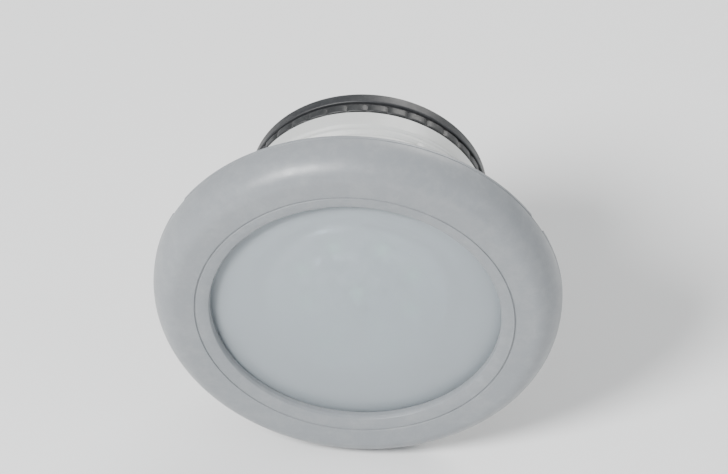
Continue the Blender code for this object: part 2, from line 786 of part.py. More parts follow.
# --- Assembly -------------------------------------------------------------------------------------
def build_bodies():
    """Each moving group of pieces, with the group that it moves on and each piece's material."""
    return {
        "fitting": (
            None,
            [
                (make_wall_fitting(), WHITE_PLASTIC),
                (make_flange_gasket(), RUBBER),
                (make_lens_gasket(), SILICONE),
                (make_lens(), LENS_PLASTIC),
                (make_lens_clamp_ring(), STEEL),
                *[(screw, STEEL) for screw in make_clamp_screws()],
            ],
        ),
        "trim": ("fitting", [(make_trim_ring(), GREY_PLASTIC)]),
        "washer": ("fitting", [(make_slip_washer(), BLACK_PLASTIC)]),
        "nut": ("washer", [(make_lock_nut(), WHITE_PLASTIC)]),
        "lamp": (
            "fitting",
            [
                (make_lamp_cup(), BLACK_PLASTIC),
                (make_lamp_o_ring(), RUBBER),
                (make_heat_sink(), ALUMINIUM),
                (make_thermal_pad(), SILICONE),
                (make_led_board(), BOARD_WHITE),
                *[(led, LED_GREEN) for led in make_leds()],
                (make_reflector(), MIRROR),
                *[(screw, STEEL) for screw in make_reflector_screws()],
                *[(standoff, BRASS) for standoff in make_standoffs()],
                (make_driver_board(), BOARD_GREEN),
                *[(screw, STEEL) for screw in make_driver_screws()],
                (make_capacitor(), BLACK_PLASTIC),
                (make_inductor(), FERRITE),
                (make_driver_chip(), BLACK_PLASTIC),
                (make_terminal_block(), TERMINAL_GREEN),
                *zip(make_leads(), (WIRE_RED, BLACK_PLASTIC)),
                (make_cover_gasket(), RUBBER),
                (make_rear_cover(), BLACK_PLASTIC),
                *[(screw, STEEL) for screw in make_cover_screws()],
                (make_gland_washer(), RUBBER),
                (make_gland_body(), BLACK_PLASTIC),
                (make_gland_locknut(), BLACK_PLASTIC),
                (make_gland_seal(), RUBBER),
            ],
        ),
        "claw": ("lamp", [(make_gland_claw(), BLACK_PLASTIC)]),
        "cap": ("claw", [(make_gland_cap(), BLACK_PLASTIC)]),
    }


def assemble(bodies):
    """Parents each piece to its group's empty, on the light's axis, and stands the whole light up."""
    collection = bpy.data.collections.new("underwater_spa_light")
    bpy.context.scene.collection.children.link(collection)
    empties = {}
    for body, (parent, pieces) in bodies.items():
        empty = bpy.data.objects.new(f"{body}_axis", None)
        collection.objects.link(empty)
        empties[body] = empty
        if parent:
            empty.parent = empties[parent]
        else:
            empty.rotation_euler = (math.radians(90), 0, 0)
        for piece, spec in pieces:
            if not piece.data.materials:
                piece.data.materials.append(material_of(spec))
            piece.parent = empty
            for old in list(piece.users_collection):
                old.objects.unlink(piece)
            collection.objects.link(piece)


def main():
    clear_scene()
    assemble(build_bodies())


main()
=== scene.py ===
"""Looks of the underwater spa light: every CAD node is remade as a fine mesh with a material of its own.

Pieces are made on the bench, as they lie in a lathe, in millimetres. The light's axis is along z, the water
is up, and z = 0 is the wet face of the spa's shell. levels(), reach() and middle() read a CAD node's place
there, and dress() stands a finished piece up in the frame, in metres, where the face looks along -y.
"""

import cmath
import json
import math

import bmesh
import bpy
import numpy as np
from mathutils import Matrix, Vector


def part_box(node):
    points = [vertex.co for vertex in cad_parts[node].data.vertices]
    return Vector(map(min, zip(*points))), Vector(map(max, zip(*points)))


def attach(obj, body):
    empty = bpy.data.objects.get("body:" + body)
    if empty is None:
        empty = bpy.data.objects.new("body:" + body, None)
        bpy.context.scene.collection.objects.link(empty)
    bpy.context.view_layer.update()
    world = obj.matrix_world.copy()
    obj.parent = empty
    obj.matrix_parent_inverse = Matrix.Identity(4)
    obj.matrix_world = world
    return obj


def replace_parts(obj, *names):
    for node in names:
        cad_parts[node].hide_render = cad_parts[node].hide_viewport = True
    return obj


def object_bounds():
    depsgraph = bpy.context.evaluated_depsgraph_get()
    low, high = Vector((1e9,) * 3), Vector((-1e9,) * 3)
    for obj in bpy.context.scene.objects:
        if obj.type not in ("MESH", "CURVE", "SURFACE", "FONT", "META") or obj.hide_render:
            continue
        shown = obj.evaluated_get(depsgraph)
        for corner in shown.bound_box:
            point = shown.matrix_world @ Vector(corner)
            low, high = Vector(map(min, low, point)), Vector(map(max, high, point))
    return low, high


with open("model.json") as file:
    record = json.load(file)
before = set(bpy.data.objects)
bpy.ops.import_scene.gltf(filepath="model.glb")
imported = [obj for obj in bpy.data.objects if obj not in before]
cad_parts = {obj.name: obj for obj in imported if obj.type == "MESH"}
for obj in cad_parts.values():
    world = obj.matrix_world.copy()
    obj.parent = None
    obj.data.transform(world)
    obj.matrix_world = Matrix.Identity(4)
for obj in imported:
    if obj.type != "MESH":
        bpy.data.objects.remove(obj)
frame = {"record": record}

CAD_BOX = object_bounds()
BODY_OF = {node: body for body, nodes in frame["record"]["behaviour"]["bodies"].items() for node in nodes}

MM = 0.001
STAND_UP = Matrix.Rotation(math.radians(90), 4, "X") @ Matrix.Scale(MM, 4)
SIDES = 192  # sides of the large turned pieces
WINDOW_RADIUS = 58.5
BARREL_BORE = 45.0
LAMP_LUG_TOP = -44.6  # where the lamp's lugs meet the barrel when it is locked
PAST = 1.0  # how far a cutter goes past what it cuts
NUT_PITCH = 4.0
CAP_PITCH = 1.5
SCREW_PITCH = 0.8
THIRDS = (0, 120, 240)  # turns of the lugs and vents, in degrees


def thread_form(*shares):
    """One turn of a thread, as (share of the pitch, share of the depth), with its flanks rounded."""
    return list(zip((0, *shares), (0, 0, 0.08, 0.92, 1, 1, 0.92, 0.08, 0)))


GROOVE = thread_form(0.15, 0.20, 0.34, 0.39, 0.61, 0.66, 0.80, 0.85)  # in a bolt
RIDGE = thread_form(0.22, 0.26, 0.38, 0.42, 0.58, 0.62, 0.74, 0.78)  # in its nut


# --- Reading the frame ---
def box_of(node):
    """A CAD node's lowest and highest corners in the frame, in millimetres."""
    low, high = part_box(node)
    return low / MM, high / MM


def levels(node):
    """A CAD node's back and front levels on the bench."""
    low, high = box_of(node)
    return -high.y, -low.y


def across(node):
    """A CAD node's size across the bench."""
    low, high = box_of(node)
    return high.x - low.x, high.z - low.z


def reach(node):
    """The outer radius of a CAD node that is turned about its own middle."""
    return max(across(node)) / 2


def middle(node):
    """A CAD node's centre, across the bench."""
    low, high = box_of(node)
    return (low.x + high.x) / 2, (low.z + high.z) / 2


# --- Shapes ---
def rounded(corners, steps=4):
    """The points of a closed outline of (across, up, fillet) corners, as complex numbers. A point just past
    each end of a fillet keeps the flat beside it flat where it is shaded smooth."""
    points = []
    for i, (x, y, fillet) in enumerate(corners):
        here = complex(x, y)
        if not fillet:
            points.append(here)
            continue
        before = complex(*corners[i - 1][:2]) - here
        after = complex(*corners[(i + 1) % len(corners)][:2]) - here
        half = abs(cmath.phase(after / before)) / 2
        back = min(fillet / math.tan(half), 0.45 * abs(before), 0.45 * abs(after))
        radius = back * math.tan(half)
        start, end = (here + side / abs(side) * back for side in (before, after))
        bisector = before / abs(before) + after / abs(after)
        centre = here + bisector / abs(bisector) * radius / math.sin(half)
        turn = cmath.phase((end - centre) / (start - centre))
        points.append(here + before / abs(before) * back * 1.1)
        points += [centre + (start - centre) * cmath.exp(1j * turn * k / steps) for k in range(steps + 1)]
        points.append(here + after / abs(after) * back * 1.1)
    return points


def new_object(name, mesh):
    obj = bpy.data.objects.new(name, mesh)
    bpy.context.scene.collection.objects.link(obj)
    return obj


def weld(mesh):
    """Welds a mesh's doubled points, closes pinholes between them, and turns its faces out."""
    work = bmesh.new()
    work.from_mesh(mesh)
    bmesh.ops.remove_doubles(work, verts=work.verts, dist=1e-3)
    bmesh.ops.dissolve_degenerate(work, edges=work.edges, dist=1e-4)
    bmesh.ops.holes_fill(work, edges=[edge for edge in work.edges if edge.is_boundary], sides=12)
    bmesh.ops.recalc_face_normals(work, faces=work.faces)
    work.to_mesh(mesh)
    work.free()


def mesh_object(name, points, faces):
    mesh = bpy.data.meshes.new(name)
    mesh.from_pydata(points, [], faces)
    weld(mesh)
    return new_object(name, mesh)


def quads(rows, sides, closed=False):
    """Faces of a grid of rows round the axis."""
    index = np.arange(rows * sides).reshape(rows, sides)
    lower = index if closed else index[:-1]
    upper = np.roll(index, -1, 0) if closed else index[1:]
    corners = lower, np.roll(lower, -1, 1), np.roll(upper, -1, 1), upper
    return np.stack(corners, -1).reshape(-1, 4)


def round_axis(radius, level, sides):
    """Points at each radius and level, which are grids of rows by sides, turned to their own angle."""
    angle = np.arange(sides)[None, :] * 2 * math.pi / sides
    return np.stack([radius * np.cos(angle), radius * np.sin(angle), level + 0 * angle], -1).reshape(-1, 3)


def helix(radius, low, high, depth, pitch, form, sides):
    """A threaded stretch of a cylinder: rows that climb with the right-hand thread, cut level at both ends.
    Its phase is counted from z = 0, so that a bolt and its nut match."""
    turns = math.ceil((high - low) / pitch) + 3
    shares = np.array([share for share, _ in form])
    heights = np.tile([height for _, height in form], turns)
    first = math.floor(low / pitch) - 1
    climb = (first + np.arange(turns)[:, None] + shares[None, :]).reshape(-1) * pitch
    raw = climb[:, None] + pitch * np.arange(sides)[None, :] / sides
    level = np.clip(raw, low, high)
    run_out = np.clip(np.minimum(raw - low, high - raw) / (0.6 * pitch), 0, 1)
    grid = radius - depth * heights[:, None] * run_out
    points = round_axis(grid, level, sides)
    rows, step = len(climb), len(form)
    index = np.arange(rows * sides).reshape(rows, sides)
    following = np.concatenate([index[:, 1:], np.roll(index[:, :1], -step, 0)], 1)
    keep = rows - step - 1
    corners = index[:keep], following[:keep], following[1 : keep + 1], index[1 : keep + 1]
    return points, np.stack(corners, -1).reshape(-1, 4)


def turned(name, corners, sides=SIDES, warp=None, thread=None, steps=4):
    """An outline of (radius, level, fillet) corners turned about z, solid if it starts and ends on the axis.
    warp(radius, level, angle) moves its points. thread is the helix that takes the place of the straight
    stretch between two neighbouring corners at its ends: (low, high, depth, pitch, form)."""
    section = rounded(corners, steps)
    on_axis = abs(section[0].real) < 1e-9
    radius = np.repeat([[p.real] for p in section], sides, 1)
    level = np.repeat([[p.imag] for p in section], sides, 1)
    if warp:
        radius, level = warp(radius, level, np.arange(sides)[None, :] * 2 * math.pi / sides)
    points = round_axis(radius, level, sides)
    faces = quads(len(section), sides, closed=not on_axis)
    if thread:
        low, high, depth, pitch, form = thread
        ends = [i for i, p in enumerate(section) if min(abs(p.imag - low), abs(p.imag - high)) < 1e-9]
        pairs = [(a, b) for a, b in zip(ends, ends[1:]) if b == a + 1 and section[a].real == section[b].real]
        row = pairs[0][0]
        faces = np.delete(faces, np.s_[row * sides : (row + 1) * sides], 0)
        more, ridge = helix(section[row].real, low, high, depth, pitch, form, sides)
        faces = np.concatenate([faces, ridge + len(points)])
        points = np.concatenate([points, more])
    return mesh_object(name, points.tolist(), faces.tolist())


def prism(name, outline, low, high, bevel=0.0, steps=2):
    """A flat outline of (x, y) points between two levels, with its edges bevelled."""
    count = len(outline)
    points = [(x, y, level) for level in (low, high) for x, y in outline]
    sides = [(i, (i + 1) % count, (i + 1) % count + count, i + count) for i in range(count)]
    obj = mesh_object(name, points, [*sides, tuple(range(count)), tuple(range(count, 2 * count))])
    return bevelled(obj, bevel, steps) if bevel else obj


def bevelled(obj, width, steps=2):
    modifier = obj.modifiers.new("bevel", "BEVEL")
    modifier.width = width
    modifier.segments = steps
    modifier.limit_method = "ANGLE"
    modifier.angle_limit = math.radians(30)
    return applied(obj)


def applied(obj):
    """Bakes the object's modifiers into its mesh."""
    graph = bpy.context.evaluated_depsgraph_get()
    graph.update()
    mesh = bpy.data.meshes.new_from_object(obj.evaluated_get(graph))
    obj.modifiers.clear()
    obj.data = mesh
    return obj


def box(name, size, centre, turn=0.0, bevel=0.0):
    """A block of that size, centred there, then turned about z by turn degrees."""
    half_x, half_y, half_z = (side / 2 for side in size)
    outline = [(-half_x, -half_y), (half_x, -half_y), (half_x, half_y), (-half_x, half_y)]
    obj = prism(name, outline, -half_z, half_z, bevel)
    obj.data.transform(Matrix.Rotation(math.radians(turn), 4, "Z") @ Matrix.Translation(centre))
    return obj


def cross(length, width):
    """The outline of a plus sign."""
    arm = [complex(width, width) / 2, complex(width, length) / 2, complex(-width, length) / 2]
    points = [point * 1j**quarter for quarter in range(4) for point in arm]
    return [(point.real, point.imag) for point in points]


def circle(radius, sides, centre=(0, 0), first=0.0):
    angles = [math.radians(first + 360 * i / sides) for i in range(sides)]
    return [(centre[0] + radius * math.cos(a), centre[1] + radius * math.sin(a)) for a in angles]


def sector(name, inner, outer, low, high, centre, width, bevel=0.0):
    """A block that follows the circle, width degrees wide about its centre."""
    steps = max(4, round(width))
    angles = [math.radians(centre - width / 2 + width * i / steps) for i in range(steps + 1)]
    outline = [(outer * math.cos(a), outer * math.sin(a)) for a in angles]
    outline += [(inner * math.cos(a), inner * math.sin(a)) for a in reversed(angles)]
    return prism(name, outline, low, high, bevel)


def gathered(objects):
    """Several objects as one, each still a shell of its own."""
    first = objects[0]
    work = bmesh.new()
    for obj in objects:
        work.from_mesh(obj.data)
    work.to_mesh(first.data)
    work.free()
    for obj in objects[1:]:
        bpy.data.objects.remove(obj)
    return first


def carve(obj, tools, operation="DIFFERENCE"):
    """Cuts the tools, which don't touch each other, out of obj, or joins them to it."""
    tool = gathered(tools)
    modifier = obj.modifiers.new("carve", "BOOLEAN")
    modifier.operation = operation
    modifier.object = tool
    weld(applied(obj).data)
    bpy.data.objects.remove(tool)
    return obj


def join(obj, tools):
    return carve(obj, tools, "UNION")


def holes(points, radius, low, high):
    return [prism("hole", circle(radius, 32, at), low, high) for at in points]


def drill(obj, points, radius, low, high):
    """Cuts round holes right through, from one level to the other."""
    return carve(obj, holes(points, radius, low - PAST, high + PAST))


CLAMP_HOLES = circle(69.2, 6, first=30)
COVER_HOLES = circle(42.3, 4, first=45)
ENGINE_HOLES = circle(13.0, 3, first=30)  # from the reflector to the heat sink
DRIVER_HOLES = circle(33.0, 3, first=90)


# --- Materials ---
class Paint:
    """A Principled material, and the short node chains that vary its colour, roughness and relief. Sizes and
    depths are in millimetres."""

    def __init__(self, name, colour, roughness, **inputs):
        self.material = bpy.data.materials.new(name)
        self.material.use_nodes = True
        self.tree = self.material.node_tree
        self.shader = self.tree.nodes["Principled BSDF"]
        self.place = self.node("TexCoord").outputs["Object"]
        self.normal = None
        self.shade = colour
        self.fill(self.shader, Base_Color=colour, Roughness=roughness, **inputs)

    def put(self, socket, value):
        """Links a value to a socket, or sets it there."""
        if isinstance(value, bpy.types.NodeSocket):
            self.tree.links.new(value, socket)
        elif socket.type == "RGBA":
            socket.default_value = (*value, 1)
        else:
            socket.default_value = value

    def fill(self, node, **inputs):
        """Puts values on a node's sockets, by name."""
        for name, value in inputs.items():
            self.put(node.inputs[name.replace("_", " ")], value)

    def node(self, kind, **inputs):
        node = self.tree.nodes.new(f"ShaderNode{kind}")
        self.fill(node, **inputs)
        return node

    def math(self, operation, *values):
        node = self.node("Math")
        node.operation = operation
        for socket, value in zip(node.inputs, values):
            self.put(socket, value)
        return node.outputs[0]

    def noise(self, size, detail=2.0, stretch=None, rough=0.5):
        """Noise whose features are about that large."""
        place = self.node("Mapping", Vector=self.place, Scale=stretch).outputs[0] if stretch else self.place
        node = self.node("TexNoise", Vector=place, Scale=1 / (size * MM), Detail=detail, Roughness=rough)
        return node.outputs["Fac"]

    def from_axis(self):
        """Distance from the light's axis, in metres."""
        parts = self.node("SeparateXYZ", Vector=self.place).outputs
        squares = [self.math("MULTIPLY", parts[letter], parts[letter]) for letter in "XZ"]
        return self.math("SQRT", self.math("ADD", *squares))

    def turned_lines(self, size):
        """Fine rings left by a lathe, about that far apart."""
        node = self.node("TexNoise", Scale=1 / (size * MM), Detail=3)
        node.noise_dimensions = "1D"
        self.fill(node, W=self.from_axis())
        return node.outputs["Fac"]

    def between(self, value, low, high, start=0.0, end=1.0):
        """Maps low to high on to start to end, and holds it there beyond them."""
        node = self.node("MapRange", Value=value, From_Min=low, From_Max=high, To_Min=start, To_Max=end)
        return node.outputs[0]

    def edges(self):
        """1 on sharp convex edges and 0 elsewhere, from how the mesh curves."""
        return self.between(self.node("NewGeometry").outputs["Pointiness"], 0.52, 0.60)

    def tint(self, share, colour):
        """Blends the base colour towards another, by share."""
        node = self.node("Mix")
        node.data_type = "RGBA"
        for index, value in ((0, share), (6, self.shade), (7, colour)):  # factor, A and B, of a colour mix
            self.put(node.inputs[index], value)
        self.shade = node.outputs[2]
        self.fill(self.shader, Base_Color=self.shade)

    def roughness(self, value):
        self.fill(self.shader, Roughness=value)

    def relief(self, height, depth, strength=1.0):
        """Adds bumps of that depth to those already there."""
        node = self.node("Bump", Strength=strength, Distance=depth * MM, Height=height)
        if self.normal:
            self.fill(node, Normal=self.normal)
        self.normal = node.outputs[0]
        self.fill(self.shader, Normal=self.normal)


def scaled(colour, factor):
    return tuple(min(1.0, c * factor) for c in colour)


def moulded(name, colour, roughness, grain=0.35, depth=0.02, film=0.10, film_colour=(0.55, 0.56, 0.54)):
    """Moulded plastic: uneven colour, a fine textured skin, sharp edges lightened as rubbing and as a painted
    highlight, and a thin pale film of scale.
    """
    paint = Paint(name, colour, roughness, Specular_IOR_Level=0.45)
    paint.tint(paint.between(paint.noise(30, 3), 0.3, 0.7, 0, 0.5), scaled(colour, 0.92))
    paint.tint(paint.between(paint.noise(1.1, 2), 0.45, 0.75, 0, 0.3), scaled(colour, 1.08))
    paint.tint(paint.between(paint.noise(5, 6, rough=0.6), 0.45, 0.85, 0, film), film_colour)
    # painted highlight, partly rubbed wear: sharp convex edges are lightened
    paint.tint(paint.math("MULTIPLY", paint.edges(), 0.25), scaled(colour, 1.4))
    smears = paint.noise(6, 5, rough=0.6)
    paint.roughness(paint.between(smears, 0.3, 0.7, roughness - 0.05, roughness + 0.07))
    paint.relief(paint.noise(grain, 3), depth)
    paint.relief(paint.noise(1.3, 2), 0.03)
    paint.relief(paint.noise(14, 2), 0.05, 0.5)
    return paint.material


def rubbery(name, colour, bloom=0.10):
    """Rubber: dull, finely pitted, with a dusty bloom."""
    paint = Paint(name, colour, 0.72, Specular_IOR_Level=0.30)
    paint.tint(paint.between(paint.noise(3, 4), 0.40, 0.80, 0, bloom), (0.30, 0.30, 0.29))
    paint.tint(paint.between(paint.noise(0.5, 2), 0.5, 0.8, 0, 0.4), scaled(colour, 1.5))
    paint.roughness(paint.between(paint.noise(3, 3), 0.3, 0.7, 0.60, 0.80))
    paint.relief(paint.noise(0.25, 3), 0.02)
    return paint.material


def turned_metal(name, colour, roughness, line=0.12, depth=0.004):
    """Metal off a lathe: fine rings about the light's axis, and a few stains."""
    paint = Paint(name, colour, roughness, Metallic=1.0)
    rings = paint.turned_lines(line)
    paint.tint(paint.between(paint.noise(8, 4), 0.45, 0.8, 0, 0.5), scaled(colour, 0.72))
    paint.roughness(paint.between(rings, 0.25, 0.75, roughness - 0.08, roughness + 0.14))
    paint.relief(rings, depth)
    return paint.material


def plain_metal(name, colour, roughness, stretch=None, grain=0.4, depth=0.008):
    """Cast, drawn or plated metal. stretch draws its grain out along one axis, as an extrusion's is."""
    paint = Paint(name, colour, roughness, Metallic=1.0)
    grain_noise = paint.noise(grain, 4, stretch)
    paint.tint(paint.between(paint.noise(6, 4), 0.4, 0.8, 0, 0.6), scaled(colour, 0.68))
    # painted highlight: sharp convex edges are lightened
    paint.tint(paint.math("MULTIPLY", paint.edges(), 0.5), scaled(colour, 1.25))
    paint.roughness(paint.between(grain_noise, 0.3, 0.7, roughness - 0.08, roughness + 0.16))
    paint.relief(grain_noise, depth)
    return paint.material


def lens_material():
    """Frosted polycarbonate: light passes through it, but it blurs what is behind it."""
    milk = (0.60, 0.66, 0.70)
    paint = Paint("frosted_lens", milk, 0.34, Transmission_Weight=0.62, IOR=1.50, Specular_IOR_Level=0.5)
    paint.tint(paint.between(paint.noise(24, 3), 0.3, 0.7, 0, 0.5), scaled(milk, 0.94))
    # painted shade: the lens is darker towards its rim, beside the trim ring
    paint.tint(paint.between(paint.from_axis(), 50 * MM, 59 * MM, 0, 0.35), scaled(milk, 0.88))
    paint.roughness(paint.between(paint.noise(6, 3), 0.3, 0.7, 0.32, 0.37))
    paint.relief(paint.noise(1.6, 2), 0.01, 0.6)
    return paint.material


def board_material(name, mask, track):
    """A printed circuit board: solder mask over raised tracks."""
    paint = Paint(name, mask, 0.32, Specular_IOR_Level=0.55)
    masks = []
    for width, height, turn in ((9, 2.2, 0), (2.6, 7, 90)):
        flat = (math.radians(90), 0, math.radians(turn))
        place = paint.node("Mapping", Vector=paint.place, Rotation=flat).outputs[0]
        brick = paint.node("TexBrick", Vector=place, Scale=1.0, Mortar_Size=0.22 * MM, Mortar_Smooth=0.1)
        paint.fill(brick, Brick_Width=width * MM, Row_Height=height * MM)
        brick.offset = 0.37
        masks.append(brick.outputs["Fac"])
    tracks = paint.math("MAXIMUM", *masks)
    paint.tint(tracks, track)
    paint.tint(paint.between(paint.noise(10, 3), 0.4, 0.8, 0, 0.3), scaled(mask, 0.75))
    paint.relief(tracks, 0.035)
    paint.relief(paint.noise(0.3, 2), 0.006)
    paint.roughness(paint.between(paint.noise(4, 3), 0.3, 0.7, 0.26, 0.42))
    return paint.material


def glowing(name, colour, glow):
    """An LED's clear dome, lit faintly from inside."""
    paint = Paint(name, colour, 0.12, Transmission_Weight=0.35, IOR=1.45, Emission_Color=glow)
    paint.fill(paint.shader, Emission_Strength=1.0)
    paint.tint(paint.between(paint.noise(0.8, 2), 0.35, 0.7, 0, 0.4), scaled(colour, 0.8))
    paint.relief(paint.noise(0.6, 2), 0.01)
    return paint.material


WHITE = (0.52, 0.53, 0.52)
BLACK = (0.020, 0.021, 0.022)
STEEL = (0.60, 0.60, 0.59)

TRIM_GREY = moulded("trim_grey", (0.222, 0.235, 0.248), 0.36, grain=0.40, depth=0.030, film=0.12)
FITTING_WHITE = moulded("fitting_white", WHITE, 0.38, film=0.20, film_colour=(0.58, 0.56, 0.50))
NUT_WHITE = moulded("nut_white", (0.50, 0.51, 0.50), 0.42, 0.5, film=0.25, film_colour=(0.52, 0.50, 0.44))
CASING_BLACK = moulded("casing_black", BLACK, 0.48, grain=0.30, depth=0.035, film=0.03)
COVER_BLACK = moulded("cover_black", (0.024, 0.025, 0.027), 0.45, grain=0.30, depth=0.035, film=0.03)
GLAND_BLACK = moulded("gland_black", (0.026, 0.026, 0.027), 0.40, grain=0.18, depth=0.012, film=0.03)
WASHER_BLACK = moulded("washer_black", (0.030, 0.030, 0.031), 0.34, grain=0.8, depth=0.006, film=0.05)
PART_BLACK = moulded("part_black", (0.025, 0.025, 0.027), 0.38, grain=0.12, depth=0.008, film=0.02)
TERMINAL_GREEN = moulded("terminal_green", (0.03, 0.27, 0.09), 0.38, grain=0.15, depth=0.008, film=0.03)
FERRITE = moulded("ferrite", (0.085, 0.085, 0.090), 0.62, grain=0.25, depth=0.02, film=0.03)
CERAMIC = moulded("led_ceramic", (0.78, 0.78, 0.75), 0.45, grain=0.1, depth=0.004, film=0.02)
RUBBER = rubbery("black_rubber", (0.030, 0.030, 0.031))
SILICONE = rubbery("grey_silicone", (0.42, 0.44, 0.45), bloom=0.15)
RING_STEEL = turned_metal("turned_steel", STEEL, 0.26)
SCREW_STEEL = plain_metal("screw_steel", STEEL, 0.26, grain=0.15, depth=0.003)
BRASS = plain_metal("brass", (0.74, 0.55, 0.25), 0.28, grain=0.2, depth=0.003)
COPPER = plain_metal("enamelled_copper", (0.72, 0.30, 0.13), 0.30, grain=0.3, depth=0.003)
TIN = plain_metal("tinned", (0.68, 0.69, 0.70), 0.30, grain=0.2, depth=0.006)
EXTRUDED = plain_metal("extruded_aluminium", (0.66, 0.67, 0.68), 0.38, stretch=(1, 0.03, 1), grain=0.25)
MIRROR = plain_metal("metallised", (0.84, 0.86, 0.87), 0.14, grain=3, depth=0.02)
LENS = lens_material()
BOARD_WHITE = board_material("white_board", (0.76, 0.77, 0.75), (0.66, 0.66, 0.60))
BOARD_GREEN = board_material("green_board", (0.012, 0.115, 0.045), (0.03, 0.22, 0.07))
GLOW = glowing("led_dome", (0.62, 0.88, 0.70), (0.30, 1.0, 0.62))
INSULATION = {
    "lead_red": moulded("red_insulation", (0.50, 0.02, 0.02), 0.36, grain=0.4, depth=0.004, film=0.03),
    "lead_black": moulded("black_insulation", BLACK, 0.36, grain=0.4, depth=0.004, film=0.03),
}


# --- Finishing ---
def shade(obj, sharp=38):
    """Smooth shading, but for edges of more than that many degrees."""
    obj.data.shade_smooth()
    obj.data.set_sharp_from_angle(angle=math.radians(sharp))


def clad(obj, node, sharp=38):
    """Names and shades a piece that is in its place, and puts it on its body, instead of the CAD node."""
    obj.name = f"fine_{node}"
    shade(obj, sharp)
    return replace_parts(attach(obj, BODY_OF[node]), node)


def dress(obj, node, *materials, sharp=38):
    """Gives a bench piece its materials and stands it up in the frame, in the place of the CAD node."""
    for material in materials:
        obj.data.materials.append(material)
    obj.data.transform(STAND_UP)
    return clad(obj, node, sharp)


def dress_copies(mesh, name, places):
    """Stands copies of one bench mesh up in the frame, for the CAD nodes name_1, name_2 and so on."""
    mesh.transform(Matrix.Scale(MM, 4))
    for number, place in enumerate(places, 1):
        copy = new_object("copy", mesh)
        copy.matrix_world = STAND_UP @ place @ Matrix.Scale(1 / MM, 4)
        clad(copy, f"{name}_{number}")


def paint_where(obj, test):
    """Gives the faces whose centre passes the test the piece's second material."""
    for face in obj.data.polygons:
        if test(face.center):
            face.material_index = 1


# --- Wet side ---
def make_trim_ring():
    """The face ring: crowned, with a fine line round the window, a parting line on its side, and vents."""
    back, front = levels("trim_ring")
    outer = reach("trim_ring")
    wall, under = 2.2, front - 2.0
    shoulder, spring = 72.0, 3.0  # where the rounded outer edge begins, and its lowest level

    def edge(width, top, count):
        angles = [math.radians(90 - 90 * i / count) for i in range(count + 1)]
        return [(shoulder + width * math.cos(a), spring + (top - spring) * math.sin(a), 0) for a in angles]

    def crown(*shares):
        return [(61.0 + 10.0 * t, front - 0.55 * (1 - t) ** 2, 0) for t in shares]

    line, line_top = 64.4, front - 0.25  # the fine line's middle, and its top
    parting, notch = 2.3, 0.3  # the parting line's level and depth
    lip_foot = levels("lens")[0] + 4.2
    corners = [
        (WINDOW_RADIUS, front - 2.6, 0.5), (WINDOW_RADIUS + 0.5, front - 1.2, 0.5), *crown(0.0, 0.12, 0.24),
        (line - 0.45, line_top, 0.15), (line - 0.25, line_top - 0.5, 0.12),
        (line + 0.25, line_top - 0.5, 0.12), (line + 0.45, line_top + 0.03, 0.15), *crown(0.42, 0.6, 0.8),
        *edge(outer - shoulder, front, 26), (outer, parting + 0.45, 0.1),
        (outer - notch, parting + 0.3, 0.1), (outer - notch, parting, 0.1), (outer, parting - 0.15, 0.1),
        (outer, back, 0.5), (outer - wall, back, 0.5), *reversed(edge(outer - shoulder - wall, under, 14)),
        (WINDOW_RADIUS + 1.5, under, 0.4), (WINDOW_RADIUS + 1.5, lip_foot, 0.3),
        (WINDOW_RADIUS, lip_foot, 0.3),
    ]
    obj = turned("trim", corners, sides=256)
    join(obj, [sector("lug", 74.0, outer - 1.2, 4.0, 6.8, 90 + turn, 18, 0.4) for turn in THIRDS])
    carve(obj, [box("vent", (9, 10, 2.8), (outer, 0, back), 30 + turn, 0.6) for turn in THIRDS])
    return dress(obj, "trim_ring", TRIM_GREY)


def make_lens():
    """A shallow dome, with prismatic rings inside that spread the light."""
    back, top = levels("lens")
    rim = back + 3.5
    crown = top - rim
    edge, teeth = 59.5, 23

    def rise(radius):
        return crown * (1 - (radius / edge) ** 2)

    outside = [(edge * i / 28, rim + rise(edge * i / 28), 0) for i in range(29)]
    inside = []
    for i in reversed(range(1, teeth)):
        radius = 57.0 * i / teeth
        inside.append((radius + 1.9, back + rise(radius + 1.9) + 0.05, 0))
        inside.append((radius, back + rise(radius) + 0.55, 0))
    outer = reach("lens")
    corners = [
        *outside, (outer, rim, 0.4), (outer, back, 0.4), (edge, back, 0.3), *inside, (0, back + rise(0), 0),
    ]
    return dress(turned("lens", corners), "lens", LENS, sharp=25)


def make_wall_fitting():
    """Flange and barrel in one moulding, with the lock nut's thread and both bayonets."""
    back = levels("wall_fitting")[0]
    rim = levels("lens")[0] + 3.5
    flange_back = levels("flange_gasket")[1] + 0.3
    floor = levels("lens_gasket")[0] - 0.3
    flange, recess = 73.0, reach("lens") + 0.5
    thread, barrel = 50.8, 49.2
    thread_low, thread_high = -42.0, flange_back - 5.0
    corners = [
        (recess, rim, 0.3), (flange, rim, 0.5), (flange, flange_back, 0.6), (thread, flange_back, 0.8),
        (thread, thread_high, 0), (thread, thread_low, 0), (barrel, -43.6, 0.5), (barrel, back + 1.0, 0.4),
        (barrel - 1.0, back, 0.4), (BARREL_BORE, back, 0.4), (BARREL_BORE, floor, 0.5),
        (recess, floor, 0.4),
    ]
    obj = turned("fitting", corners, thread=(thread_low, thread_high, 1.6, NUT_PITCH, GROOVE))
    join(obj, [sector("tab", 71.5, 76.5, 7.2, 10.2, 90 + turn, 20, 0.4) for turn in THIRDS])
    join(obj, [sector("stop", 71.5, 76.4, 3.6, 7.6, 78 + turn, 3, 0.3) for turn in THIRDS])
    groove = BARREL_BORE - 1, BARREL_BORE + 2.5, LAMP_LUG_TOP - 3.6, LAMP_LUG_TOP + 0.4
    entry = BARREL_BORE - 1.2, BARREL_BORE + 2.4, back - PAST, LAMP_LUG_TOP + 0.3
    carve(obj, [sector("groove", *groove, 10.5 + turn, 55) for turn in THIRDS])
    carve(obj, [sector("entry", *entry, -10 + turn, 14) for turn in THIRDS])
    carve(obj, holes(CLAMP_HOLES, 1.5, floor - 0.6, rim + 1))
    return dress(obj, "wall_fitting", FITTING_WHITE)


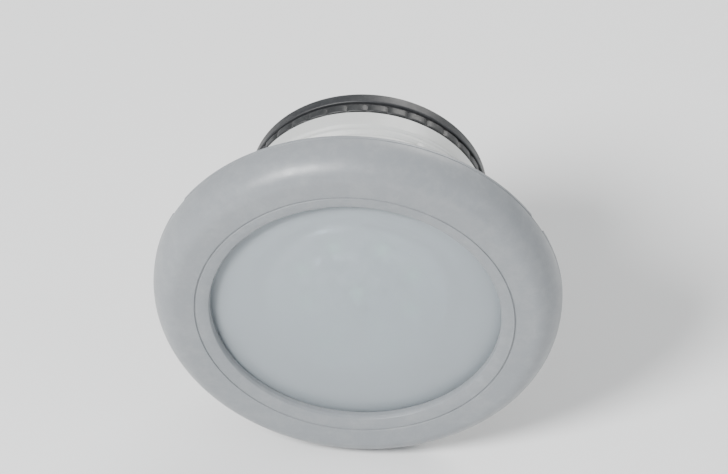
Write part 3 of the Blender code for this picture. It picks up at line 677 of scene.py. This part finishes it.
def make_flange_gasket():
    """A rubber ring with a rounded edge, and four sealing beads on the side that meets the shell."""
    back, front = levels("flange_gasket")
    inner, outer = 52.5, reach("flange_gasket")
    bead = 0.4
    beads = []
    for radius in (67.5, 63.5, 59.5, 55.5):
        beads += [
            (radius + 1.1, back + bead, 0.2), (radius + 0.4, back, 0.3), (radius - 0.4, back, 0.3),
            (radius - 1.1, back + bead, 0.2),
        ]
    front_edge = [(inner, front, 0.5), (outer, front, 1.1), (outer, back + bead, 1.1)]
    corners = [*front_edge, *beads, (inner, back + bead, 0.5)]
    return dress(turned("gasket", corners, steps=3), "flange_gasket", RUBBER)


def flat_ring(node, inner, edge, material, *drilled, **options):
    """A flat ring as deep and as wide as its CAD node. drilled are its holes, as (points, radius, depth).
    Those of no depth go right through."""
    back, front = levels(node)
    outer = reach(node)
    corners = [(inner, front, edge), (outer, front, edge), (outer, back, edge), (inner, back, edge)]
    obj = turned(node, corners, **options)
    for points, radius, depth in drilled:
        low = front - depth + PAST if depth else back
        drill(obj, points, radius, low, front)
    return dress(obj, node, material)


# --- Screws ---
def screw_mesh(node, head_radius, head_height, shank_radius):
    """A pan-head screw with a cross recess and a rolled thread. The underside of its head is at z = 0."""
    back, front = levels(node)
    length = front - back - head_height
    low, high = -length + 1.2 * shank_radius, -0.5
    dome = [
        (0, head_height, 0), (0.55 * head_radius, 0.96 * head_height, 0.4 * head_radius),
        (0.92 * head_radius, 0.72 * head_height, 0.3 * head_radius),
        (head_radius, 0.25 * head_height, 0.2 * head_height), (head_radius, 0, 0.12 * head_height),
        (shank_radius, 0, 0.1),
    ]
    tip = [(0.55 * shank_radius, -length + 0.15, 0.1), (0, -length, 0)]
    if high - low > 2 * SCREW_PITCH:
        shank = [(shank_radius, high, 0), (shank_radius, low, 0)]
        thread = (low, high, 0.30, SCREW_PITCH, GROOVE)
        obj = turned("screw", dome + shank + tip, 24, thread=thread, steps=3)
    else:
        obj = turned("screw", dome + [(shank_radius, low, 0)] + tip, 24, steps=3)
    outline = cross(1.15 * head_radius, 0.36 * head_radius)
    carve(obj, [prism("recess", outline, 0.38 * head_height, 1.5 * head_height)])
    mesh = obj.data
    bpy.data.objects.remove(obj)
    return mesh


def make_screws(name, count, head_radius, head_height, shank_radius, to_water=True):
    """The named screws, each standing where its CAD node does. to_water has their heads towards the water."""
    mesh = screw_mesh(f"{name}_1", head_radius, head_height, shank_radius)
    mesh.materials.append(SCREW_STEEL)
    places = []
    for number in range(1, count + 1):
        node = f"{name}_{number}"
        back, front = levels(node)
        seat = front - head_height if to_water else back + head_height
        flip = Matrix.Rotation(0 if to_water else math.pi, 4, "X")
        spin = Matrix.Rotation(math.radians(37 * number), 4, "Z")
        places.append(Matrix.Translation((*middle(node), seat)) @ flip @ spin)
    dress_copies(mesh, name, places)


# --- Dry side ---
def make_lock_nut():
    """A flanged nut with eight ribs, cut with the barrel's thread."""
    back, front = levels("lock_nut")
    outer, hub, bore = reach("lock_nut"), 56.5, 51.2
    flange_back = front - 4.0
    thread_low, thread_high = back + 1.6, front - 1.6
    corners = [
        (bore + 0.8, front, 0.3), (outer, front, 0.6), (outer, flange_back, 0.9), (hub, flange_back, 1.0),
        (hub, back, 1.2), (bore + 0.9, back, 0.3), (bore, back + 0.9, 0), (bore, thread_low, 0),
        (bore, thread_high, 0), (bore, front - 0.8, 0),
    ]
    obj = turned("nut", corners, thread=(thread_low, thread_high, 1.6, NUT_PITCH, RIDGE))
    foot, tip, inset = hub - 2.0, outer - 0.8, 0.6
    size = (tip - foot, 4.6, flange_back - back)
    centre = ((tip + foot) / 2, 0, (flange_back + back) / 2 + inset)
    join(obj, [box("rib", size, centre, 45 * (i + 0.5), 0.9) for i in range(8)])
    carve(obj, [sector("pocket", 53.6, 55.6, back - PAST, back + 1.2, 45 * i, 26) for i in range(8)])
    return dress(obj, "lock_nut", NUT_WHITE)


def make_lamp_cup():
    """The lamp's casing, with its O-ring groove, its lugs, and a scalloped flange."""
    back, front = levels("lamp_cup")
    outer, side, bore = reach("lamp_cup"), 44.2, 40.0
    flange_top = back + 4.0
    ring = sum(levels("lamp_o_ring")) / 2
    ledge = front - 15.3  # where the heat sink rests
    scallops = 36

    def scalloped(radius, level, angle):
        dip = 0.7 * np.maximum(0, np.cos(angle * scallops)) ** 4
        return radius - dip * (radius > outer - 1.0), level

    corners = [
        (bore, front, 0.3), (side, front, 0.9), (side, ring + 1.6, 0.2), (side - 2.1, ring + 1.6, 0.2),
        (side - 2.1, ring - 1.6, 0.2), (side, ring - 1.6, 0.2), (side, flange_top, 0.6),
        (outer, flange_top, 0.6), (outer, back, 0.6), (bore, back, 0.4), (bore, ledge - 3.0, 0.5),
        (37.5, ledge - 3.0, 0.4), (37.5, ledge, 0.3), (bore, ledge, 0.4),
    ]
    obj = turned("cup", corners, sides=288, warp=scalloped)
    lug = side - 1, side + 3, LAMP_LUG_TOP - 3.2, LAMP_LUG_TOP
    join(obj, [sector("lug", *lug, 30 + turn, 11, 0.4) for turn in THIRDS])
    carve(obj, holes(COVER_HOLES, 1.3, back - PAST, back + 8.5))
    return dress(obj, "lamp_cup", CASING_BLACK)


def make_o_ring():
    back, front = levels("lamp_o_ring")
    thick = (front - back) / 2
    radius = reach("lamp_o_ring") - thick
    corners = [(x, -y, 0) for x, y in circle(thick, 20, (radius, -(front + back) / 2))]
    return dress(turned("o_ring", corners), "lamp_o_ring", RUBBER)


def make_rear_cover():
    """The lamp's back: a beaded edge, stiffening ribs, and two wings to turn it by."""
    low, front = levels("rear_cover")
    back = front - 4.0
    outer, bore = reach("rear_cover"), 8.0
    bead = 0.9
    corners = [
        (bore, front, 0.3), (outer, front, 0.5), (outer, back - bead, 0.9), (outer - 3.0, back - bead, 0.6),
        (outer - 3.6, back, 0.3), (17.4, back, 0.4), (16.6, back - bead, 0.5), (14.4, back - bead, 0.5),
        (13.8, back, 0.3), (bore, back, 0.3),
    ]
    obj = turned("cover", corners, sides=144)
    start, end = 15.5, 37.0
    rib, centre = (end - start, 1.6, 1.6), ((end + start) / 2, 0, back)
    turns = (28, 62, 90, 118, 152, 208, 242, 270, 298, 332)  # none where the wings are
    join(obj, [box("rib", rib, centre, turn, 0.4) for turn in turns])
    root = 1.0  # how deep a wing is let into the cover
    height = back - low + root
    wings = []
    for side in (-1, 1):
        wing = box("wing", (24, 5, height), (0, 0, -height / 2))
        for vertex in wing.data.vertices:
            if vertex.co.z < -height / 2:
                vertex.co.x *= 0.88
                vertex.co.y *= 0.70
        bevelled(wing, 1.1, 3)
        wing.data.transform(Matrix.Translation((side * 30, 0, back + root)))
        wings.append(wing)
    join(obj, wings)
    drill(obj, COVER_HOLES, 1.5, back - 1, front)
    return dress(obj, "rear_cover", COVER_BLACK)


# --- Gland ---
def hexagon(name, corner, bore, low, high, chamfer=0.7):
    """A hexagonal collar with its corners turned off at both ends. corner is how far out they are."""
    obj = prism(name, circle(corner, 6), low, high)
    flat, full = corner - 1.6 * chamfer, corner + 0.1
    cone = [(0, high), (flat, high), (full, high - chamfer), (full, low + chamfer), (flat, low), (0, low)]
    carve(obj, [turned("cone", [(*point, 0) for point in cone], 72)], "INTERSECT")
    return carve(obj, [prism("bore", circle(bore, 72), low - PAST, high + PAST)])


def make_gland_body():
    back, front = levels("gland_body")
    hex_back = back + 8.5
    bore, seat, spigot, thread = 5.0, 7.0, 7.7, 8.8
    thread_low, thread_high = back + 0.6, hex_back - 0.6
    corners = [
        (bore, front, 0.2), (spigot, front, 0.5), (spigot, hex_back + 1, 0), (thread, hex_back + 1, 0),
        (thread, thread_high, 0), (thread, thread_low, 0), (thread - 0.5, back, 0.1), (seat, back, 0.15),
        (seat, back + 7, 0), (bore, back + 7, 0),
    ]
    obj = turned("gland", corners, sides=72, thread=(thread_low, thread_high, 0.6, CAP_PITCH, GROOVE))
    join(obj, [hexagon("hex", 12.5, 6.5, hex_back, hex_back + 5)])
    return dress(obj, "gland_body", GLAND_BLACK)


def make_gland_locknut():
    back, front = levels("gland_locknut")
    return dress(hexagon("nut", 11.5, 8.0, back, front, 0.5), "gland_locknut", GLAND_BLACK)


def make_gland_cap():
    """The cap nut: a hexagon, and a rounded nose with a rolled lip at the cable's way out."""
    back, front = levels("gland_cap")
    claw_end = levels("gland_claw")[0]
    collar_back = claw_end + 4.0
    inside = 9.2
    thread_low, thread_high = collar_back + 2.6, front - 0.8
    corners = [
        (inside + 0.3, front, 0.1), (10.6, front, 0.3), (10.6, collar_back - 1.0, 0.5),
        (10.1, claw_end + 0.5, 1.6), (7.6, back, 1.8), (5.2, back, 0.5), (5.2, claw_end - 0.3, 0.3),
        (7.0, claw_end - 0.3, 0), (8.9, collar_back - 0.3, 0), (inside, collar_back - 0.3, 0),
        (inside, thread_low, 0), (inside, thread_high, 0),
    ]
    obj = turned("cap", corners, sides=72, thread=(thread_low, thread_high, 0.35, CAP_PITCH, RIDGE))
    low = collar_back + 1.0
    join(obj, [hexagon("hex", 12.5, 9.9, low, low + 8)])
    return dress(obj, "gland_cap", GLAND_BLACK)


def make_gland_claw():
    """The slotted collet: its fingers taper inwards at the tips."""
    back, front = levels("gland_claw")
    collar_back = back + 4.0
    body_end = collar_back + 2.0
    corners = [
        (5.3, front, 0.1), (6.6, front, 0.3), (6.6, body_end, 0.2), (8.6, body_end, 0.3),
        (8.6, collar_back, 0.3), (7.4, collar_back, 0.2), (6.4, back, 0.3), (5.3, back, 0.2),
    ]
    obj = turned("claw", corners, sides=72)
    size, centre = (6, 1.2, 6), (7.2, 0, collar_back - 2.9)
    return dress(carve(obj, [box("slot", size, centre, 60 * i) for i in range(6)]), "gland_claw", GLAND_BLACK)


def make_gland_seal():
    back, front = levels("gland_seal")
    outer, inner = reach("gland_seal"), 3.6
    corners = [
        (inner + 0.3, front, 0.3), (outer, front, 0.3), (outer, back, 0.5), (inner + 0.5, back, 0.3),
        (inner, back + 0.8, 0.2),
    ]
    return dress(turned("seal", corners, sides=64), "gland_seal", RUBBER)


# --- Light engine ---
LEDS = [f"led_{number}" for number in range(1, 10)]


def make_reflector():
    """A metallised moulding with a cup round each LED."""
    back, front = levels("reflector")
    outer = reach("reflector")
    edge = [(outer - 1.2, front, 0.2), (outer, front - 1.0, 0.4), (outer, back, 0.3)]
    obj = turned("reflector", [(0, front, 0), *edge, (0, back, 0)])
    mouth, throat = 9.3, 4.0
    depth = front - back
    shares = [i / 8 for i in range(9)]
    cups = []
    for node in LEDS:
        wall = [(throat + (mouth - throat) * share**0.62, back + depth * share, 0) for share in shares]
        wall = [(throat, back - PAST, 0), *wall, (mouth, front + PAST, 0)]
        cup = turned("cup", [(0, front + PAST, 0), *reversed(wall), (0, back - PAST, 0)], 64)
        cup.data.transform(Matrix.Translation((*middle(node), 0)))
        cups.append(cup)
    carve(obj, cups)
    drill(obj, ENGINE_HOLES, 1.5, back, front)
    return dress(obj, "reflector", MIRROR)


def make_leds():
    """A ceramic package with a clear dome on it. All nine share one mesh."""
    back, front = levels("led_1")
    package, half = 0.8, reach("led_1")
    base = box("base", (2 * half, 2 * half, package), (0, 0, package / 2), bevel=0.15)
    dome_height = front - back - package
    angles = [math.radians(90 - 90 * i / 10) for i in range(11)]
    dome = [(2.1 * math.cos(a), package + dome_height * math.sin(a), 0) for a in angles]
    bulb = turned("bulb", [*dome, (2.3, package * 0.5, 0), (0, package * 0.5, 0)], 48)
    mesh = join(base, [bulb]).data
    mesh.materials.append(CERAMIC)
    mesh.materials.append(GLOW)
    paint_where(base, lambda at: at.z > package * 1.01)
    bpy.data.objects.remove(base)
    dress_copies(mesh, "led", [Matrix.Translation((*middle(node), levels(node)[0])) for node in LEDS])


def disc(node, radius, edge, screws, material, notched=False):
    """A solid disc as thick as its CAD node, drilled for its screws."""
    back, front = levels(node)
    obj = turned(node, [(0, front, 0), (radius, front, edge), (radius, back, edge), (0, back, 0)])
    if notched:
        notch_for_leads(obj, back, front)
    drill(obj, screws, 1.5, back, front)
    return dress(obj, node, material)


def notch_for_leads(obj, back, front):
    carve(obj, [box("notch", (12, 9, front - back + 2 * PAST), (-40, 0, (back + front) / 2))])


def make_heat_sink():
    """An extruded plate with seven fins, notched for the leads."""
    back, front = levels("heat_sink")
    plate_back = front - 6.0
    radius = 39.6
    plate = [(0, front, 0), (radius, front, 0.4), (radius, plate_back, 0.4), (0, plate_back, 0)]
    obj = turned("sink", plate, 128)
    pitch, spread, taper = 8.0, 27.0, 0.72  # the fins fill a circle of radius spread
    height = plate_back - back + 1
    fins = []
    for number in range(-3, 4):
        x = pitch * number
        length = 2 * math.sqrt(spread**2 - x**2)
        fin = box("fin", (1.6, length, height), (x, 0, back + height / 2))
        for vertex in fin.data.vertices:
            if vertex.co.z < plate_back - 1:
                vertex.co.x = x + (vertex.co.x - x) * taper
        fins.append(bevelled(fin, 0.3))
    join(obj, fins)
    notch_for_leads(obj, back, front)
    drill(obj, ENGINE_HOLES, 1.5, back, front)
    return dress(obj, "heat_sink", EXTRUDED)


def make_standoffs():
    for number in range(1, 4):
        node = f"standoff_{number}"
        back, front = levels(node)
        post = hexagon("post", 3.0, 1.2, back, front, 0.25)
        turn = Matrix.Rotation(math.radians(37 * number), 4, "Z")  # as far as the CAD's
        post.data.transform(Matrix.Translation((*middle(node), 0)) @ turn)
        dress(post, node, BRASS)


def make_capacitor():
    """A sleeved can with a crimped neck and a scored vent on its end."""
    back, front = levels("capacitor")
    radius = reach("capacitor") - 0.02
    corners = [
        (0, front, 0), (radius - 0.4, front, 0.3), (radius - 0.1, front - 1.2, 0.3),
        (radius - 0.8, front - 2.0, 0.5), (radius, front - 2.9, 0.5), (radius, back, 0.5),
        (radius - 0.6, back, 0.1), (radius - 0.7, back + 0.25, 0.1), (0, back + 0.25, 0),
    ]
    obj = turned("can", corners, 48)
    carve(obj, [prism("score", cross(6, 0.3), back - PAST, back + 0.45)])
    paint_where(obj, lambda at: at.z < back + 0.6 and math.hypot(at.x, at.y) < radius - 0.65)
    obj.data.transform(Matrix.Translation((*middle("capacitor"), 0)))
    return dress(obj, "capacitor", PART_BLACK, TIN)


def make_inductor():
    """A drum core, wound with enamelled copper wire."""
    back, front = levels("inductor")
    rim, core, flange = 6.5, 5.0, 1.8
    low, high = back + flange, front - flange
    turns = 11  # that touch each other
    wire = (high - low) / turns
    winding = []
    for i in range(turns):
        top = high - i * wire
        winding += [(core + 0.25, top, 0), (core + 0.45, top - wire / 2, 0)]
    corners = [
        (0, front, 0), (rim, front, 0.3), (rim, high, 0.3), (core, high, 0), *winding, (core, low, 0),
        (rim, low, 0.3), (rim, back, 0.3), (0, back, 0),
    ]
    obj = turned("drum", corners, 64)
    paint_where(obj, lambda at: low - 0.01 < at.z < high + 0.01 and math.hypot(at.x, at.y) < core + 0.6)
    obj.data.transform(Matrix.Translation((*middle("inductor"), 0)))
    return dress(obj, "inductor", FERRITE, COPPER)


def make_driver_chip():
    """A moulded package with gull-wing legs down both sides."""
    back, front = levels("driver_chip")
    x, y = middle("driver_chip")
    width, depth = across("driver_chip")
    body_depth, lift, pitch = depth - 2.4, 0.3, 1.27
    size = (width, body_depth, front - back - lift)
    obj = box("chip", size, (x, y, (back + front - lift) / 2), bevel=0.2)
    foot, riser = (0.42, 1.0, 0.2), (0.42, 0.5, 1.0)
    legs = []
    for side in (-1, 1):
        for i in range(7):
            leg_x = x + (i - 3) * pitch
            legs.append(box("foot", foot, (leg_x, y + side * (depth / 2 - 0.5), front - 0.12)))
            top = (leg_x, y + side * (body_depth / 2 + 0.2), (front + back) / 2 + 0.25)
            legs.append(box("riser", riser, top))
    body_faces = len(obj.data.polygons)
    gathered([obj, *legs])
    for face in obj.data.polygons[body_faces:]:
        face.material_index = 1
    return dress(obj, "driver_chip", PART_BLACK, TIN)


def make_terminal_block():
    """Two ways for the cable's cores, with their clamp screws on the side."""
    back, front = levels("terminal_block")
    x, y = middle("terminal_block")
    width, depth = across("terminal_block")
    obj = box("terminal", (width, depth, front - back), (x, y, (front + back) / 2), bevel=0.35)
    ways = [(x - 4, y), (x + 4, y)]
    carve(obj, holes(ways, 2.4, back - PAST, back + 6))
    pits = []
    for way_x, _ in ways:
        pit = prism("pit", circle(1.9, 32), -1, 3)
        place = Matrix.Translation((way_x, y - depth / 2 - 1, back + 3.4))
        pit.data.transform(place @ Matrix.Rotation(-math.pi / 2, 4, "X"))
        pits.append(pit)
    carve(obj, pits)
    carve(obj, [box("groove", (0.5, depth + 2, 1.0), (x, y, back))])
    return dress(obj, "terminal_block", TERMINAL_GREEN)


def make_leads():
    """The two leads: straight through the notch, then bowed, with tinned ends."""
    steps, sides, bow = 24, 20, 2.8
    straight = 0.3  # of its length
    for node in INSULATION:
        low = box_of(node)[0]
        back, front = levels(node)
        thick = across(node)[1]
        radius = thick / 2 * 0.98
        y = middle(node)[1]
        points = []
        for i in range(steps + 1):
            share = i / steps
            slack = max(0.0, share - straight) / (1 - straight)
            x = low.x + thick / 2 + bow * math.sin(math.pi * slack) ** 2
            level = front + (back - front) * share
            points += [(*point, level) for point in circle(radius, sides, (x, y))]
        faces = quads(steps + 1, sides).tolist()
        faces += [tuple(range(sides)), tuple(range(len(points) - sides, len(points)))]
        obj = mesh_object("lead", points, faces)
        paint_where(obj, lambda at: at.z > front - 1.0 or at.z < back + 1.0)
        dress(obj, node, INSULATION[node], TIN)


# --- Stage ---
def area_light(name, place, target, size, power, colour=(1, 1, 1)):
    """A round soft light. Places and sizes are in metres, and power in watts."""
    data = bpy.data.lights.new(name, "AREA")
    data.shape = "DISK"
    data.size = size
    data.energy = power
    data.color = colour
    light = new_object(name, data)
    light.location = place
    light.rotation_euler = (Vector(target) - Vector(place)).to_track_quat("-Z", "Y").to_euler()


def make_stage():
    """A pale floor that curves up all round into a wall, soft light, and the camera, all in metres."""
    low, high = CAD_BOX
    centre = (low + high) / 2
    floor_level = low.z - 0.2 * MM
    wall, curve, top = 4.5, 2.5, 5.0
    floor = turned("floor", [(0, floor_level, 0), (wall, floor_level, curve), (wall, top, 0)], 128, steps=24)
    shade(floor)
    paint = Paint("floor", (0.80, 0.80, 0.795), 0.75, Specular_IOR_Level=0.2)
    paint.tint(paint.between(paint.noise(250, 3), 0.3, 0.7, 0, 0.4), (0.78, 0.785, 0.79))
    floor.data.materials.append(paint.material)

    world = bpy.data.worlds.new("studio")
    world.use_nodes = True
    sky = world.node_tree.nodes["Background"].inputs
    sky["Color"].default_value = (0.90, 0.95, 1.0, 1)
    sky["Strength"].default_value = 0.62
    bpy.context.scene.world = world
    area_light("key", (-0.8, -0.9, 1.15), centre, 0.55, 52)
    area_light("fill", (1.2, -0.5, 0.5), centre, 1.0, 5, (0.95, 0.97, 1.0))
    area_light("back", (0.5, 1.2, 0.8), centre, 0.8, 17, (1.0, 0.98, 0.95))

    azimuth, elevation = math.radians(4), math.radians(43)
    distance = 1.7
    aim = centre + Vector((0, 0, -0.004))
    away = Matrix.Rotation(azimuth, 3, "Z") @ Vector((0, -math.cos(elevation), math.sin(elevation)))
    data = bpy.data.cameras.new("camera")
    data.sensor_width = 36
    data.lens = 205
    camera = new_object("camera", data)
    camera.location = aim + away * distance
    camera.rotation_euler = (-away).to_track_quat("-Z", "Y").to_euler()
    bpy.context.scene.camera = camera


def build():
    make_stage()
    make_trim_ring()
    make_lens()
    make_wall_fitting()
    make_flange_gasket()
    flat_ring("lens_gasket", 56.5, 0.3, SILICONE)
    seats = (CLAMP_HOLES, 1.7, None), (CLAMP_HOLES, 3.0, 1.6)
    flat_ring("lens_clamp_ring", WINDOW_RADIUS + 2, 0.3, RING_STEEL, *seats)
    make_screws("clamp_screw", 6, 2.6, 1.3, 1.3)
    flat_ring("slip_washer", 51.3, 0.4, WASHER_BLACK)
    make_lock_nut()
    make_lamp_cup()
    make_o_ring()
    make_heat_sink()
    disc("led_board", 38.0, 0.15, ENGINE_HOLES, BOARD_WHITE)
    disc("thermal_pad", 37.5, 0.1, ENGINE_HOLES, SILICONE, notched=True)
    disc("driver_board", 37.0, 0.15, DRIVER_HOLES, BOARD_GREEN)
    make_leds()
    make_reflector()
    make_screws("reflector_screw", 3, 2.4, 1.6, 1.2)
    make_standoffs()
    make_screws("driver_screw", 3, 2.4, 1.5, 1.1, to_water=False)
    make_capacitor()
    make_inductor()
    make_driver_chip()
    make_terminal_block()
    make_leads()
    flat_ring("cover_gasket", 40.2, 0.3, RUBBER, (COVER_HOLES, 1.5, None))
    make_rear_cover()
    make_screws("cover_screw", 4, 2.6, 1.8, 1.2, to_water=False)
    flat_ring("gland_washer", 8.1, 0.3, RUBBER, sides=64)
    make_gland_body()
    make_gland_locknut()
    make_gland_seal()
    make_gland_claw()
    make_gland_cap()


build()
